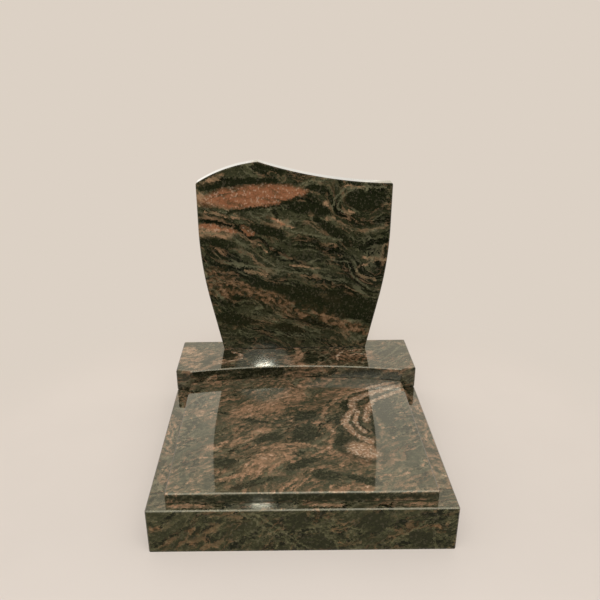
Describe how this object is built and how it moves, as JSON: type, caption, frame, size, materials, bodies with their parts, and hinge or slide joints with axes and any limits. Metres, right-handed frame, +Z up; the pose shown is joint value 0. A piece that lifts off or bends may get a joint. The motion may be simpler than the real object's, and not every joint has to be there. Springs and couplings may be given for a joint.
{
  "type": "grave kerb set with headstone",
  "caption": "Polished stone grave kerb set: rectangular kerb frame, raised closed cover slab, plinth with a hollow front and a curved headstone with an off-centre crest.",
  "frame": {"origin": "on the ground at the middle of the kerb frame", "axes": "+Z up, +Y along the grave from its foot to the headstone, +X to the right for someone facing the headstone"},
  "size_m": [1, 1.1, 1.063],
  "materials": {
    "polished_stone": "mirror polished, swirling dark green-black, orange-red and salmon gneiss",
    "bearer_concrete": "plain cast concrete",
    "joint_mortar": "matte dark jointing resin and bedding mortar",
    "stainless_steel": "mill-finish stainless steel"
  },
  "bodies": {
    "root": {"front_kerb": "polished_stone", "left_kerb": "polished_stone", "right_kerb": "polished_stone", "rear_kerb": "polished_stone", "cover_slab": "polished_stone", "plinth": "polished_stone", "headstone": "polished_stone", "cross_bearer": "bearer_concrete", "front_left_joint": "joint_mortar", "front_right_joint": "joint_mortar", "rear_left_joint": "joint_mortar", "rear_right_joint": "joint_mortar", "slab_bed": "joint_mortar", "slab_joint_seal": "joint_mortar", "plinth_bed": "joint_mortar", "headstone_bed": "joint_mortar", "left_dowel": "stainless_steel", "right_dowel": "stainless_steel", "front_left_angle": "stainless_steel", "front_right_angle": "stainless_steel", "rear_left_angle": "stainless_steel", "rear_right_angle": "stainless_steel"}
  },
  "joints": []
}
